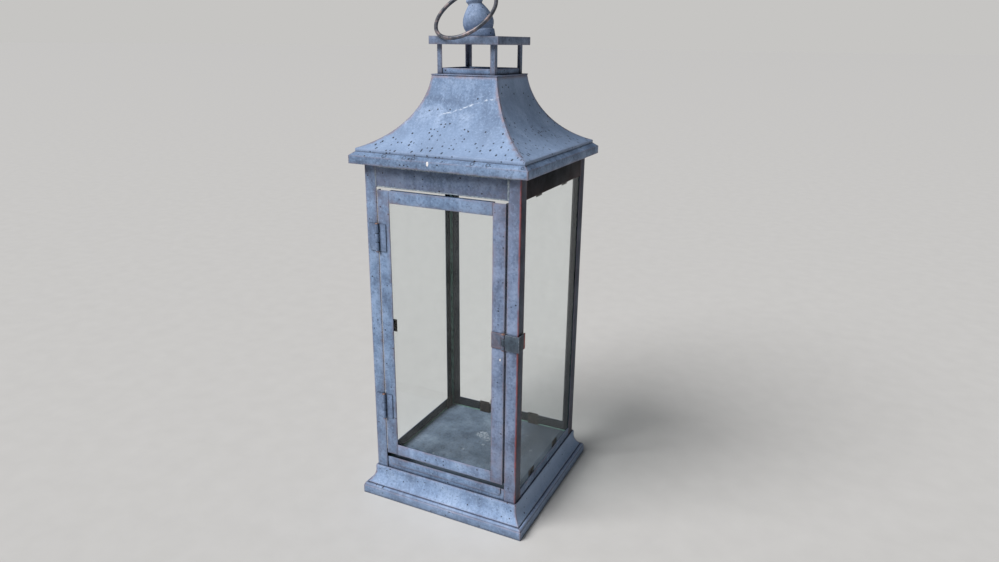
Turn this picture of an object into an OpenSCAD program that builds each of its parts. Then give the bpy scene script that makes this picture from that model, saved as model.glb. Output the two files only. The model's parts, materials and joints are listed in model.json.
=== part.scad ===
// Square hanging lantern in sheet metal: flared base, four corner posts, three fixed panes,
// a hinged glazed door with a wrap-round latch, a concave pagoda roof, an open cupola and a
// carrying ring through a turned finial.
// Millimetres. +Z is up, the door faces -Y, and the origin is the centre of the base's underside.

/* [Body] */
// Width of the square body over the corner posts
body_w = 150; // [146:1:156]
// Height of the lower edge of the eave fascia above the base
eave_z = 330; // [326:1:345]
// Thickness of the sheet metal
sheet = 1.0; // [0.8:0.1:1.1]
// Width of each flange of the L-section corner posts
post_flange = 11.2; // [10.6:0.1:11.6]
// How far the header rails reach below the fascia
header_drop = 20; // [16:1:24]
// Height of the top of the low side rails
low_rail_z = 37.5; // [34:0.5:40]
// Thickness of the glass
glass = 2.0; // [1.8:0.1:2.2]

/* [Base] */
// Width over the plinth face at the foot of the base
plinth_w = 172; // [168:1:176]
// Height of the upright plinth face
plinth_h = 8.2; // [7:0.2:9]
// Height of the ledge that the posts rise from
ledge_z = 29; // [28:0.5:30]
// Height of the floor sheet's rim, which the posts, rails and panes stand on
floor_z = 27; // [26:0.5:27.5]
// How far the middle of the floor sheet, where a candle stands, is pressed up from its rim
floor_press = 0.3; // [0.2:0.1:0.5]
// Width of the turned-in foot flange that the lantern stands on
foot_flange = 9; // [6:0.5:12]

/* [Door] */
// Width of the door
door_w = 125; // [124:0.2:125.2]
// Height of the door's lower edge
door_z = 45.5; // [44.5:0.5:47]
// Width of the door's stiles
stile_w = 12; // [10:0.5:13]
// Depth of the door's top and bottom rails
door_rail_w = 11.2; // [9:0.2:13]
// Clear gap between the door's hinged edge and the corner post
hinge_gap = 0.7; // [0.6:0.1:0.9]
// Depth of the door frame's turned-in edge
door_return = 5; // [4.2:0.2:6]

/* [Hinges and latch] */
// Heights of the middles of the two hinges
hinge_heights = [97.2, 264.5];
// Height of each hinge leaf
hinge_h = 25; // [20:1:28]
// Width of each hinge leaf beside the barrel
leaf_w = 6.6; // [5:0.2:7]
// Radius of the hinge and latch barrels
barrel_r = 1.7; // [1.5:0.1:1.8]
// Radius of the hinge and latch pins
pin_r = 0.8; // [0.7:0.05:0.9]
// Height of the middle of the latch
latch_z = 187.9; // [120:1:230]
// Height of the latch flap
latch_h = 14.4; // [12:0.2:18]
// Length of the hook that wraps round the corner post
hook_len = 13; // [8:1:15]

/* [Roof] */
// Width over the eave fascia
eave_w = 169.5; // [166:0.5:174]
// Height of the upright face of the fascia
fascia_h = 7; // [6:0.5:9]
// Width over the foot of the concave roof
roof_w = 160.6; // [158:0.2:162]
// Width over the top of the roof
roof_top_w = 63; // [62:0.5:70]
// Height of the top of the roof above the fascia's lower edge
roof_rise = 73.3; // [66:0.1:80]
// How far the roof sags inwards from a straight slope
roof_sag = 10.9; // [6:0.1:12]
// Open seam between neighbouring mitred panels
seam = 0.2; // [0.1:0.05:0.3]

/* [Cupola, finial and ring] */
// Width of the cupola over its posts
cupola_w = 55.6; // [52:0.2:58]
// Width of the cupola's post flanges
cupola_flange = 4.6; // [4:0.1:6]
// Height of the cupola's windows, from the roof's top plate to the cap's lower edge
window_h = 24.4; // [20:0.2:30]
// Width over the cap
cap_w = 66; // [64:0.5:72]
// Height of the cap's turned-down sides
cap_h = 6.8; // [5:0.2:9]
// Lean of the finial towards -X, in degrees
finial_lean = 11.5; // [0:0.5:12]
// Radius of the finial's belly
belly_r = 13.5; // [12:0.1:14]
// Distance of the ring's hole from the cap, along the finial
hole_h = 37.8; // [36:0.2:40]
// Radius of the ball that the ring's hole goes through
ball_r = 7; // [6.5:0.1:7.5]
// Radius of the ring, to the middle of its wire
ring_r = 28.4; // [28:0.1:29]
// Radius of the ring's wire
wire_r = 1.65; // [1.5:0.05:1.75]
// Angle between the finial and the ring as it lies on the cap's front edge
ring_rest = 46.9; // [46.8:0.1:60]

/* [Hidden] */
SIDES = ["front", "right", "back", "left"];
CORNERS = ["front_left", "front_right", "back_right", "back_left"];
$fn = 64;

// Body
half = body_w / 2;
inner = half - sheet;
opening = half - post_flange;
header_z = eave_z - header_drop;
pane_in = inner - glass;
pane_top = eave_z - 4;
slack = 0.2;

// Base: the cove runs from the bead up to the ledge beside the posts
plinth = plinth_w / 2;
bead_r = 2.7;
bead_top = plinth_h + bead_r;
cove_foot = [plinth - bead_r - 0.8, bead_top + 0.7];
cove_head = [half + 1.8, ledge_z - 2];
cove_sag = 2;
floor_half = half;
floor_t = sheet;
field_half = half - sheet - 3;
rim_lap = 1;

// Eave and roof
eave = eave_w / 2;
fascia_top = eave_z + fascia_h;
tray_z = fascia_top + 3.2;
tray_inner = half - 9;
roof = roof_w / 2;
roof_step = 2.7;
roof_top = roof_top_w / 2;
roof_z = eave_z + roof_rise;
wall_top = tray_z - sheet;

// Door
door_x0 = -(opening - hinge_gap);
door_x1 = door_x0 + door_w;
door_top = header_z - 2.6;
door_h = door_top - door_z;
door_mid = (door_x0 + door_x1) / 2;
tab_t = 0.7;
tab_w = 12;

// Hinges and latch: the barrels stand just proud of the faces that the leaves lie on
leaf_t = 0.8;
barrel_y = -(half + barrel_r + 0.2);
fit = 0.05;
hinge_x = -(opening - hinge_gap / 2);
latch_x = door_x1;
knuckle_gap = 0.3;
head_h = 0.9;
head_r = barrel_r;
flap_t = 0.9;
plate_w = 11;

// Sill
sill_z0 = 33.5;
sill_z1 = 41.3;
sill_half = 60;
sill_r = 3.6;

// Cupola
cup = cupola_w / 2;
cup_sheet = 0.8;
top_plate_t = 1;
top_plate_half = roof_top + 0.4;
top_plate_opening = cup - 5.8;
cup_z = roof_z + top_plate_t;
cup_base_h = 5;
cap = cap_w / 2;
cap_z0 = cup_z + window_h;
cap_z1 = cap_z0 + cap_h;

// Finial, as distances along its axis
foot_r = belly_r - 0.7;
foot_h = 5;
groove_h = 6.5;
belly_h = 11.3;
neck_h = 27;
neck_r = 5.9;
collar_h = 30;
collar_r = 7.5;
collar_half = 1.7;
hole_r = wire_r + 0.95;

function left_of(v) = [-v[1], v[0]];
function unit(v) = v / norm(v);

// Points along an arc from p to q that bulges by s to the left of the way from p to q
function bow(p, q, s, n) =
    let (c = norm(q - p), r = (c * c / 4 + s * s) / (2 * s), a = asin(c / 2 / r))
    let (u = (q - p) / c, v = left_of(u), o = (p + q) / 2 - (r - s) * v)
    [for (i = [0:n]) let (b = a * (2 * i / n - 1)) o + r * (cos(b) * v + sin(b) * u)];

// Point i of a path moved by t to its left, with mitred bends
function moved(p, i, t) =
    let (a = left_of(unit(i > 0 ? p[i] - p[i - 1] : p[1] - p[0])))
    let (b = i < len(p) - 1 ? left_of(unit(p[i + 1] - p[i])) : a)
    p[i] + t * (a + b) / (1 + a * b);

// Section of a folded sheet whose outer face follows the path
module folded(path, t) {
    last = len(path) - 1;
    polygon(concat(path, [for (i = [last:-1:0]) moved(path, i, t)]));
}

// Turns a shape made for the front round to side k: front, right, back, left
module to_side(k) rotate([0, 0, 90 * k]) children();

// A straight length on the front side whose section is given as (distance out, height),
// mitred at both ends and shortened there by half the seam
module mitred(reach) {
    trim = seam / 2 * sqrt(2);
    intersection() {
        rotate([90, 0, 90]) translate([0, 0, -reach]) linear_extrude(2 * reach)
            mirror([1, 0]) children();
        linear_extrude(2 * cap_z1)
            polygon([[0, -trim], [-reach, -reach - trim], [reach, -reach - trim]]);
    }
}

// An upright strip on the front side, x0 to x1 and z0 to z1, its outer face at y = -out
module strip(x0, x1, z0, z1, out, t) {
    translate([x0, -out, z0]) cube([x1 - x0, t, z1 - z0]);
}

// L-section post at the front left corner
module angle_post(outer, flange, t, z0, z1) {
    translate([-outer, -outer, z0]) linear_extrude(z1 - z0)
        polygon([[0, 0], [flange, 0], [flange, t], [t, t], [t, flange], [0, flange]]);
}

module base_side(k) {
    path = concat(
        [[plinth - foot_flange, 0], [plinth, 0]],
        [for (a = [0:18:90]) [plinth - bead_r + bead_r * cos(a), plinth_h + bead_r * sin(a)]],
        bow(cove_foot, cove_head, cove_sag, 8),
        [[half + 1.3, ledge_z], [half + 0.05, ledge_z]]);
    color("slategray") to_side(k) mitred(plinth + 1) folded(path, sheet * 0.9);
}

// Square sheet of half-width h whose upper face is at height z
module square_sheet(h, z) {
    translate([-h, -h, z - floor_t]) cube([2 * h, 2 * h, floor_t]);
}

// The rim lies under the walls, and the pressed middle stands clear inside them
module floor_plate() {
    color("dimgray") {
        difference() {
            square_sheet(floor_half, floor_z);
            linear_extrude(2 * floor_z) square(2 * (field_half - rim_lap), center = true);
        }
        square_sheet(field_half, floor_z + floor_press);
    }
}

module post(k) {
    color("lightsteelblue") to_side(k) angle_post(half, post_flange, sheet, floor_z, wall_top);
}

module header(k) {
    color("slategray") to_side(k) strip(-opening, opening, header_z, wall_top, half, sheet);
}

module low_rail(k) {
    color("slategray") to_side(k) strip(-opening, opening, floor_z, low_rail_z, half, sheet);
}

// The front low rail lies behind the post flanges and carries the sill
module rail_front() {
    reach = inner - glass - slack;
    color("dimgray") strip(-reach, reach, floor_z, sill_z1 - 1, inner, sheet);
}

module sill() {
    color("lightsteelblue") translate([0, -inner, sill_z0]) rotate([90, 0, 0])
        linear_extrude(sheet + 0.2) union() {
            height = sill_z1 - sill_z0;
            translate([-sill_half, sill_r]) square([2 * sill_half, height - sill_r]);
            translate([-sill_half + sill_r, 0]) square([2 * (sill_half - sill_r), sill_r]);
            for (s = [-1, 1]) translate([s * (sill_half - sill_r), sill_r]) circle(sill_r);
        }
}

// The back pane stops between the side panes
module pane(k) {
    reach = k == 2 ? pane_in - slack : inner - 1;
    color("lightcyan", 0.35) to_side(k)
        strip(-reach, reach, floor_z + slack, pane_top, inner, glass);
}

// Two tabs at the foot and two at the head of each fixed pane, near the corners on the left
module pane_tabs() {
    tab_reach = 3;
    color("dimgray") for (k = [1:3], x = k == 3 ? [-70, 58] : [-36, 24]) to_side(k) {
        strip(x, x + tab_w, floor_z, low_rail_z + tab_reach, pane_in, tab_t);
        strip(x, x + tab_w, header_z - tab_reach, pane_top + tab_t, pane_in, tab_t);
        translate([x, -inner, pane_top]) cube([tab_w, glass + tab_t, tab_t]);
    }
}

// Door stile at the left edge of the door, turned in along its outer edge
module stile(x) {
    translate([x, -half, door_z]) linear_extrude(door_h)
        polygon([[0, 0], [stile_w, 0], [stile_w, sheet], [sheet, sheet],
                 [sheet, door_return], [0, door_return]]);
}

module door_stile_left() {
    color("lightsteelblue") stile(door_x0);
}

module door_stile_right() {
    color("lightsteelblue") translate([2 * door_mid, 0, 0]) mirror([1, 0, 0]) stile(door_x0);
}

// Door rail between the stiles, turned in along its outer edge
module door_rail(z0, z_edge) {
    x0 = door_x0 + stile_w;
    x1 = door_x1 - stile_w;
    strip(x0, x1, z0, z0 + door_rail_w, half, sheet);
    strip(x0, x1, z_edge, z_edge + sheet, half, door_return);
}

module door_rail_top() {
    color("lightsteelblue") door_rail(door_top - door_rail_w, door_top - sheet);
}

module door_rail_bottom() {
    color("lightsteelblue") door_rail(door_z, door_z);
}

module door_glass() {
    gap = sheet + 0.3;
    color("lightcyan", 0.35)
        strip(door_x0 + gap, door_x1 - gap, door_z + gap, door_top - gap, inner, glass);
}

// One tab on each member of the door frame, over the inner face of the glass. The upper and
// lower ones stay hidden behind their rails.
module door_tabs() {
    reach = stile_w + 2;
    hidden = stile_w - 3;
    from_edge = sheet;
    color("black") {
        strip(door_x0 + from_edge, door_x0 + reach, 175, 175 + tab_w, pane_in, tab_t);
        strip(door_x1 - reach, door_x1 - from_edge, 116, 116 + tab_w, pane_in, tab_t);
        for (z = [door_z + from_edge, door_top - hidden])
            strip(door_mid - tab_w / 2, door_mid + tab_w / 2, z, z + hidden - from_edge,
                  pane_in, tab_t);
    }
}

// Part of a barrel from z0 to z1 with the bore for its pin, and a tongue from the leaf's
// foot at x = reach; drawn about the pin's axis
module knuckle(z0, z1, reach, y0, t) {
    difference() {
        union() {
            translate([0, 0, z0]) cylinder(r = barrel_r, h = z1 - z0);
            translate([min(0, reach), y0, z0]) cube([abs(reach), t, z1 - z0]);
        }
        translate([0, 0, z0 - 1]) cylinder(r = pin_r + fit, h = z1 - z0 + 2);
    }
}

// Pin with a riveted head at each end, h between the heads
module headed_pin(h) {
    translate([0, 0, -h / 2 - head_h]) cylinder(r = pin_r, h = h + 2 * head_h);
    for (z = [-h / 2 - head_h, h / 2 + fit]) translate([0, 0, z]) cylinder(r = head_r, h = head_h);
}

module at_hinge(k) translate([hinge_x, barrel_y, hinge_heights[k]]) children();

// Leaf lying on the face behind the barrel: s = -1 for the post, 1 for the door
module leaf(s) {
    foot = barrel_r + knuckle_gap;
    y0 = -half - leaf_t - barrel_y;
    translate([s > 0 ? foot : -foot - leaf_w, y0, -hinge_h / 2]) cube([leaf_w, leaf_t, hinge_h]);
}

// The post leaf has the two end knuckles
module hinge_post_leaf(k) {
    y0 = -half - leaf_t - barrel_y;
    reach = -(barrel_r + knuckle_gap + 1);
    third = hinge_h / 3;
    color("slategray") at_hinge(k) {
        leaf(-1);
        knuckle(-hinge_h / 2, -hinge_h / 2 + third, reach, y0, leaf_t);
        knuckle(hinge_h / 2 - third, hinge_h / 2, reach, y0, leaf_t);
    }
}

// The door leaf has the middle knuckle
module hinge_door_leaf(k) {
    y0 = -half - leaf_t - barrel_y;
    reach = barrel_r + knuckle_gap + 1;
    top = hinge_h / 6 - knuckle_gap;
    color("slategray") at_hinge(k) {
        leaf(1);
        knuckle(-top, top, reach, y0, leaf_t);
    }
}

module hinge_pin(k) {
    color("peru") at_hinge(k) headed_pin(hinge_h);
}

module at_latch() translate([latch_x, barrel_y, latch_z]) children();

// Plate on the door's right stile, with a knuckle at its top and at its bottom
module latch_plate() {
    y0 = -half - leaf_t - barrel_y;
    end = latch_h / 4;
    color("slategray") at_latch() {
        translate([-plate_w - 1, y0, -latch_h / 2]) cube([plate_w - barrel_r, leaf_t, latch_h]);
        for (z = [-latch_h / 2, latch_h / 2 - end])
            knuckle(z, z + end, -(barrel_r + 2), y0, leaf_t);
    }
}

module latch_pin() {
    color("peru") at_latch() headed_pin(latch_h);
}

// Flap across the post's face, bent back round the corner
module latch_flap() {
    foot = barrel_r + knuckle_gap;
    back = half + 1 - latch_x;
    end = latch_h / 4 + knuckle_gap;
    y0 = -flap_t / 2 - 0.2;
    color("darkslategray") at_latch() {
        translate([0, 0, -latch_h / 2]) linear_extrude(latch_h)
            polygon([[foot, y0], [back + flap_t, y0], [back + flap_t, y0 + hook_len],
                     [back, y0 + hook_len], [back, y0 + flap_t], [foot, y0 + flap_t]]);
        knuckle(end - latch_h / 2, latch_h / 2 - end, foot + 1, y0, flap_t);
    }
}

module eave_side(k) {
    path = [[eave, eave_z], [eave, fascia_top], [roof + 0.2, tray_z], [tray_inner, tray_z]];
    color("slategray") to_side(k) mitred(eave + 1) folded(path, sheet);
}

module roof_side(k) {
    path = concat([[roof, tray_z]], bow([roof, tray_z + roof_step], [roof_top, roof_z],
                                        roof_sag, 18));
    color("lightsteelblue") to_side(k) mitred(roof + 1) folded(path, sheet);
}

module square_ring(outer, opening_half, z, h) {
    difference() {
        translate([-outer, -outer, z]) cube([2 * outer, 2 * outer, h]);
        translate([-opening_half, -opening_half, z - 1])
            cube([2 * opening_half, 2 * opening_half, h + 2]);
    }
}

module roof_top_plate() {
    color("rosybrown") square_ring(top_plate_half, top_plate_opening, roof_z, top_plate_t);
}

module cupola_base() {
    outer = cup - cup_sheet;
    color("lightsteelblue") square_ring(outer, outer - cup_sheet, cup_z, cup_base_h);
}

module cupola_post(k) {
    color("slategray") to_side(k)
        angle_post(cup, cupola_flange, cup_sheet, cup_z, cap_z1 - sheet);
}

module cupola_cap() {
    wall = cap - sheet;
    color("slategray") difference() {
        translate([-cap, -cap, cap_z0]) cube([2 * cap, 2 * cap, cap_h]);
        translate([-wall, -wall, cap_z0 - 1]) cube([2 * wall, 2 * wall, cap_h - sheet + 1]);
    }
}

// Everything on the finial is drawn about its own leaning axis
module at_finial() translate([0, 0, cap_z1]) rotate([0, -finial_lean, 0]) children();

// Vase shape with a foot, belly, neck, collar and ball, cut level with the cap's top and
// drilled across for the ring
module finial() {
    swell = belly_r - neck_r;
    ball_foot = asin((collar_h + collar_half + 0.8 - hole_h) / ball_r);
    outline = concat(
        [[0, -foot_h], [foot_r, -foot_h], [foot_r, foot_h - 1], [foot_r - 1, foot_h]],
        [for (i = [0:4]) let (u = 1 - i / 4)
            [belly_r - 1.3 * u * u, belly_h - (belly_h - groove_h) * u]],
        [for (i = [1:12]) [neck_r + swell * cos(90 * i / 12),
                           belly_h + (neck_h - belly_h) * i / 12]],
        [for (a = [-60:20:60]) [neck_r + (collar_r - neck_r) * cos(a),
                                collar_h + collar_half * sin(a)]],
        [for (i = [0:14]) let (a = ball_foot + (90 - ball_foot) * i / 14)
            [ball_r * cos(a), hole_h + ball_r * sin(a)]]);
    color("lightslategray") difference() {
        at_finial() rotate_extrude() polygon(outline);
        translate([-cap, -cap, cap_z0]) cube([2 * cap, 2 * cap, cap_h]);
        translate([-cap, -cap, cap_z0 - 2 * foot_h]) cube([2 * cap, 2 * cap, 2 * foot_h]);
        at_finial() translate([-2 * ball_r, 0, hole_h]) rotate([0, 90, 0])
            cylinder(r = hole_r, h = 4 * ball_r);
    }
}

// Ring through the finial's hole, leaning forwards to rest on the cap's front edge
module carry_ring() {
    color("silver") at_finial() translate([0, 0, hole_h]) rotate([-ring_rest, 0, 0])
        translate([0, 0, -ring_r]) rotate([90, 0, 0]) rotate_extrude()
            translate([ring_r, 0]) circle(wire_r);
}

for (k = [0:3]) base_side(k);
floor_plate();
for (k = [0:3]) post(k);
for (k = [0:3]) header(k);
rail_front();
for (k = [1:3]) low_rail(k);
sill();
for (k = [1:3]) pane(k);
pane_tabs();
door_stile_left();
door_stile_right();
door_rail_top();
door_rail_bottom();
door_glass();
door_tabs();
hinge_post_leaf(0);  // hinge_lower_post_leaf
hinge_door_leaf(0);  // hinge_lower_door_leaf
hinge_pin(0);  // hinge_lower_pin
hinge_post_leaf(1);  // hinge_upper_post_leaf
hinge_door_leaf(1);  // hinge_upper_door_leaf
hinge_pin(1);  // hinge_upper_pin
latch_plate();
latch_pin();
latch_flap();
for (k = [0:3]) eave_side(k);
for (k = [0:3]) roof_side(k);
roof_top_plate();
cupola_base();
for (k = [0:3]) cupola_post(k);
cupola_cap();
finial();
carry_ring();
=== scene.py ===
# %% [markdown]
# # A hanging lantern in patinated sheet zinc
# The object is a candle lantern, 172 mm square and 480 mm high. A tinsmith cut, folded and
# soldered it from 1 mm sheet: a flared base, four L-shaped corner posts, glass walls, a hinged
# door, a concave pagoda roof, an open cupola and a turned finial with a wire ring through it.
# The CAD model is loaded first as a fixed frame. Every size and place below comes from it, so the
# pieces made here sit where the engineering says, and only shape detail and finish are added.

# %% Load the frame
import json
import math
import random
import bpy
import bmesh
from mathutils import Matrix, Vector, noise


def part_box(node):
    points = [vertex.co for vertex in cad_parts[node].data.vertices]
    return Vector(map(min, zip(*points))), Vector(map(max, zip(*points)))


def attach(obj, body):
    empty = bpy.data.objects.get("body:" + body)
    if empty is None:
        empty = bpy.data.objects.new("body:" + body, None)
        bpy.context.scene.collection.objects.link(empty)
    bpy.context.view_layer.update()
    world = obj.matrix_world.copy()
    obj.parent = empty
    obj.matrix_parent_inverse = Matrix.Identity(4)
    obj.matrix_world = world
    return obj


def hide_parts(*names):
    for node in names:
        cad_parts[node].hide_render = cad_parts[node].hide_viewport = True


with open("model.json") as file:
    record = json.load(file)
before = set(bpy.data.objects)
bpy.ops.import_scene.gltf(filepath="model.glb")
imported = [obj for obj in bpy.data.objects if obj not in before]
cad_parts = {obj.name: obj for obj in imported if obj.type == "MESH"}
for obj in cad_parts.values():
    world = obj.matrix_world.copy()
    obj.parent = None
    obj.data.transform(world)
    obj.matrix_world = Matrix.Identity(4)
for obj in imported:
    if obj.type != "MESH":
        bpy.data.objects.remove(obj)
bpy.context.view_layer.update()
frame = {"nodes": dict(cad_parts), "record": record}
MM = 0.001

# %% [markdown]
# ## Camera
# The lantern is seen from above its front right corner, close enough that upright edges converge.
# A camera needs a place, a direction and a lens. The direction is built from three angles, because
# a camera that is turned, tipped and slightly rolled is easier to reason about that way than by a
# target point. A 26 mm lens on a 36 mm sensor gives the close, wide look.

# %% Camera
CAMERA_PLACE = Vector((0.3035, -0.5912, 0.4304))
CAMERA_YAW, CAMERA_PITCH, CAMERA_ROLL = 0.4458, 0.3186, 0.0118


def camera_turn(yaw, pitch, roll):
    """The camera's rotation: turned to the left by yaw, tipped down by pitch, then rolled."""
    level_look = Vector((-math.sin(yaw), math.cos(yaw), 0))
    look = math.cos(pitch) * level_look - Vector((0, 0, math.sin(pitch)))
    right = Vector((math.cos(yaw), math.sin(yaw), 0))
    up = right.cross(look)
    rolled_right = math.cos(roll) * right + math.sin(roll) * up
    rolled_up = math.cos(roll) * up - math.sin(roll) * right
    return Matrix((rolled_right, rolled_up, -look)).transposed()


camera = bpy.data.objects.new("camera", bpy.data.cameras.new("camera"))
bpy.context.scene.collection.objects.link(camera)
camera.data.sensor_width = 36
camera.data.lens = 26.03
camera.data.clip_start = 0.01
turn = camera_turn(CAMERA_YAW, CAMERA_PITCH, CAMERA_ROLL)
camera.matrix_world = Matrix.Translation(CAMERA_PLACE) @ turn.to_4x4()
bpy.context.scene.camera = camera
lantern_middle = Vector((0, 0, 0.2))
print("camera is", round((CAMERA_PLACE - lantern_middle).length, 3), "m from the lantern's middle")

# %% [markdown]
# ## Nodes
# A shader is a tree of nodes. Adding one takes a call to make it, one for each of its options and
# one for each of its inputs, so a single function does all three, and every material below uses it.
# Colours are chosen as sRGB hex values, the way a screen shows them, and are turned to the linear
# values that shaders expect in one place.

# %% One function for colours and one for nodes


def srgb(code):
    """An sRGB hex colour as linear red, green, blue and alpha."""
    parts = [int(code[i:i + 2], 16) / 255 for i in (1, 3, 5)]
    linear = [c / 12.92 if c <= 0.04045 else ((c + 0.055) / 1.055) ** 2.4 for c in parts]
    return (*linear, 1.0)


def add(tree, kind, inputs=None, stops=(), **settings):
    """Adds a node. settings are its own options, stops a colour ramp's (position, colour) pairs.
    An input is a number, a hex colour, an output, or a node, whose first output in use it takes."""
    node = tree.nodes.new("ShaderNode" + kind)
    for key, value in settings.items():
        setattr(node, key, value)
    for position, _ in stops[2:]:
        node.color_ramp.elements.new(position)
    for element, (position, colour) in zip(node.color_ramp.elements if stops else (), stops):
        element.position = position
        element.color = srgb(colour)
    for key, value in (inputs or {}).items():
        if isinstance(value, str):
            value = srgb(value)
        if isinstance(value, bpy.types.Node):
            value = next(output for output in value.outputs if output.enabled)
        if isinstance(value, bpy.types.NodeSocket):
            tree.links.new(value, node.inputs[key])
        else:
            node.inputs[key].default_value = value
    return node


def new_material(name):
    """An empty node material, its tree, and the input its surface shader goes into."""
    material = bpy.data.materials.new(name)
    material.use_nodes = True
    material.node_tree.nodes.clear()
    surface = material.node_tree.nodes.new("ShaderNodeOutputMaterial").inputs["Surface"]
    print("material", name)
    return material, material.node_tree, surface


# %% [markdown]
# ## Studio
# A plain pale floor and soft light. The floor is matt paper with a faint unevenness, so that it
# isn't one flat tone. The lamp is a sun with a very wide disc, in front, to the left and high up,
# as a bright patch of cloud would be: the door side is bright and the right side falls into shade.
# The world gives little light, which keeps that contrast, but the camera sees it as pale as the
# floor. The Standard view shows colours as they are chosen, without a film look.

# %% Floor and light
scene = bpy.context.scene
scene.view_settings.view_transform = "Standard"
scene.view_settings.look = "None"
FLOOR_HALF = 60  # metres, far enough for its edge to be at the horizon

floor_paper, tree, surface = new_material("studio_floor_paper")
place = add(tree, "TexCoord").outputs["Object"]
tooth = add(tree, "TexNoise", {"Vector": place, "Scale": 40.0, "Detail": 3.0})
tint = add(tree, "ValToRGB", {"Fac": tooth}, stops=[(0.0, "#c9c6c1"), (1.0, "#d2cfca")])
paper = add(tree, "BsdfPrincipled", {"Base Color": tint, "Roughness": 0.85})
tree.links.new(paper.outputs[0], surface)

bm = bmesh.new()
bmesh.ops.create_grid(bm, x_segments=1, y_segments=1, size=FLOOR_HALF)
mesh = bpy.data.meshes.new("studio_floor")
bm.to_mesh(mesh)
bm.free()
mesh.materials.append(floor_paper)
studio_floor = bpy.data.objects.new("studio_floor", mesh)
scene.collection.objects.link(studio_floor)

sun = bpy.data.objects.new("key_light", bpy.data.lights.new("key_light", "SUN"))
scene.collection.objects.link(sun)
sun.data.energy = 3.75
sun.data.angle = math.radians(40)
sun.data.color = srgb("#fbfcff")[:3]
shining_way = Vector((0.6, 0.95, -1.2))
sun.matrix_world = shining_way.to_track_quat("-Z", "Y").to_matrix().to_4x4()

world = bpy.data.worlds.new("studio_world")
scene.world = world
world.use_nodes = True
tree = world.node_tree
tree.nodes.clear()
seen = add(tree, "Background", {"Color": "#c6c5c3", "Strength": 1.0})
shed = add(tree, "Background", {"Color": "#dfe6f0", "Strength": 0.16})
rays = add(tree, "LightPath").outputs["Is Camera Ray"]
sky = add(tree, "MixShader", {0: rays, 1: shed, 2: seen})
tree.links.new(sky.outputs[0], tree.nodes.new("ShaderNodeOutputWorld").inputs["Surface"])
print("studio: floor, one wide sun and a weak world light")

# %% [markdown]
# ## Patina: places and masks
# New zinc is bright, but outdoors it grows a dull blue-grey carbonate skin within a few years. The
# skin is cloudy, runs of rain draw streaks down it, dust dries on it as small dark specks, and
# fingers and knocks rub it off the edges, where a coppery red shows.
# Each of those is a layer: a mask that says where it is, and a paint that says what colour. Object
# coordinates are in metres, so the scale of a texture is one over the size of its features.
# Streaks and specks need a flat coordinate that goes across each of the four sides and up it, which
# is made from the side that a face looks to. Edges are found with the Bevel node: it rounds the
# normal near an edge, and how far that differs from the true normal tells how near the edge is.
# Ambient occlusion finds the corners and seams, which are darkened as painted shade.

# %% Places, masks and layers


def per_mm(size):
    """The scale of a texture whose features are this many millimetres across."""
    return 1 / (size * MM)


def side_place(tree):
    """A flat coordinate on any of the four sides: the distance across it and the height."""
    coords = add(tree, "TexCoord")
    place = add(tree, "SeparateXYZ", {0: coords.outputs["Object"]}).outputs
    facing = add(tree, "SeparateXYZ", {0: coords.outputs["Normal"]}).outputs
    sideways = add(tree, "Math", {0: facing["X"]}, operation="ABSOLUTE")
    forwards = add(tree, "Math", {0: facing["Y"]}, operation="ABSOLUTE")
    is_end = add(tree, "Math", {0: sideways, 1: forwards}, operation="GREATER_THAN")
    across = add(tree, "Mix", {0: is_end, 2: place["X"], 3: place["Y"]})
    # Half a metre apart, so that two sides never show the same pattern.
    apart = add(tree, "Math", {0: is_end, 1: 0.5, 2: across}, operation="MULTIPLY_ADD")
    return add(tree, "CombineXYZ", {"X": apart, "Y": place["Z"]})


def edge_mask(tree, reach_mm):
    """1 at the edges of the sheet, falling to 0 within reach_mm of them."""
    rounded = add(tree, "Bevel", {"Radius": reach_mm * MM}, samples=4)
    flat = add(tree, "NewGeometry").outputs["True Normal"]
    alike = add(tree, "VectorMath", {0: rounded, 1: flat}, operation="DOT_PRODUCT")
    return add(tree, "MapRange", {"Value": alike, "From Min": 0.995, "From Max": 0.9})


def crevice_shade_mask(tree, reach_mm):
    """1 deep in corners and seams, where shade is painted, and 0 on open sheet and at outer edges.
    """
    openness = add(tree, "AmbientOcclusion", {"Distance": reach_mm * MM}, samples=4).outputs["AO"]
    return add(tree, "MapRange", {"Value": openness, "From Min": 0.86, "From Max": 0.5})


def where_all(tree, *masks):
    """1 only where every mask is 1. A number among them weakens the rest."""
    shared = masks[0]
    for mask in masks[1:]:
        shared = add(tree, "Math", {0: shared, 1: mask}, operation="MULTIPLY", use_clamp=True)
    return shared


def painted(tree, colour, layers):
    """The colour with each (mask, paint) layer laid over it in turn."""
    for mask, paint in layers:
        colour = add(tree, "Mix", {0: mask, 6: colour, 7: paint}, data_type="RGBA")
    return colour


# %% [markdown]
# ## Patina: specks and chips
# Specks are drops of dirty rain that dried. A 2D Voronoi texture gives each cell one drop at its
# middle and a random number, which decides whether the cell has a drop and how big it is. Rain runs
# off the steep upper roof and dries on its flat foot, so specks can thin out above a height.
# Chips are the few places where the skin is gone. Each has a place of its own, and the distance to
# it, made ragged by the grain, is its mask.

# %% Specks and chips
SPECK_MM = (4.0, 3.0)
CHIP_COLOUR = "#e9e4e0"


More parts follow.
